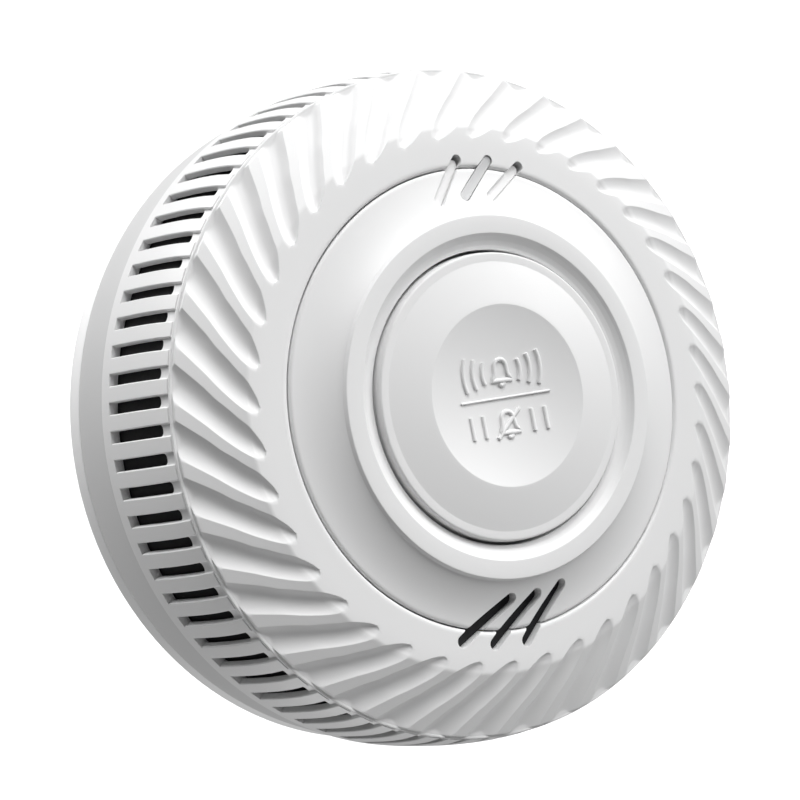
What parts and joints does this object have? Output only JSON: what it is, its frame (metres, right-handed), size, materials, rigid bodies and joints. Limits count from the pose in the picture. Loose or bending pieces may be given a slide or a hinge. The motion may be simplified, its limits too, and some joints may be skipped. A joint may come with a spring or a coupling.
{
  "type": "smoke detector",
  "caption": "Round white smoke detector with a fluted cover, slotted side vents, a large centre test button and a twist-off mounting plate.",
  "frame": {"origin": "centre of the mounting plate's back face", "axes": "+Z out of the mounting surface through the test button, +Y towards the top of the button's markings, +X to their right"},
  "size_m": [0.12, 0.12, 0.047],
  "materials": {
    "plate_plastic": "fine moulded texture, white",
    "shell_plastic": "satin moulded ABS, white",
    "button_plastic": "satin moulded ABS, white",
    "clear_plastic": "frosted translucent",
    "led_plastic": "tinted lens",
    "board_laminate": "solder-masked laminate",
    "black_plastic": "matt black",
    "capacitor_sleeve": "shrink sleeve",
    "steel": "zinc plated",
    "plunger_plastic": "natural polymer",
    "screen_steel": "etched screen",
    "brass": "rolled",
    "wire_red": "insulation",
    "wire_black": "insulation",
    "battery_sleeve": "shrink sleeve"
  },
  "bodies": {
    "plate": {"mounting_plate": "plate_plastic"},
    "head": {"rear_housing": "shell_plastic", "vent_wall": "shell_plastic", "front_cover": "shell_plastic", "centre_insert": "shell_plastic", "light_pipe": "clear_plastic", "light_pipe_holder": "shell_plastic", "status_led": "led_plastic", "circuit_board": "board_laminate", "control_chip": "black_plastic", "sounder_driver": "black_plastic", "reservoir_capacitor": "capacitor_sleeve", "boost_coil": "black_plastic", "radio_shield": "steel", "switch_body": "black_plastic", "chamber_base": "black_plastic", "chamber_labyrinth": "black_plastic", "chamber_cap": "black_plastic", "insect_screen": "screen_steel", "infrared_led": "clear_plastic", "photodiode": "black_plastic", "sounder_cup": "shell_plastic", "piezo_disc": "brass", "sounder_lead_a": "wire_red", "sounder_lead_b": "wire_black", "battery": "battery_sleeve", "battery_tab_positive": "steel", "battery_tab_negative": "steel", "board_screw_1": "steel", "board_screw_2": "steel", "board_screw_3": "steel", "cover_screw_1": "steel", "cover_screw_2": "steel", "cover_screw_3": "steel"},
    "button": {"test_button": "button_plastic"},
    "plunger": {"switch_plunger": "plunger_plastic"}
  },
  "joints": [
    {"name": "head_twist", "type": "hinge", "parent": "plate", "child": "head", "pos_m": [0, 0, 0.01], "axis": [0, 0, 1], "range_deg": [0, 15]},
    {"name": "button_press", "type": "slide", "parent": "head", "child": "button", "axis": [0, 0, -1], "range_m": [0, 0.001], "stiffness_N_per_m": 2500},
    {"name": "plunger_press", "type": "slide", "parent": "head", "child": "plunger", "axis": [0, 0, -1], "range_m": [0, 0.001]}
  ],
  "couplings": [
    {"joint": "plunger_press", "follows": "button_press", "ratio": 1}
  ]
}
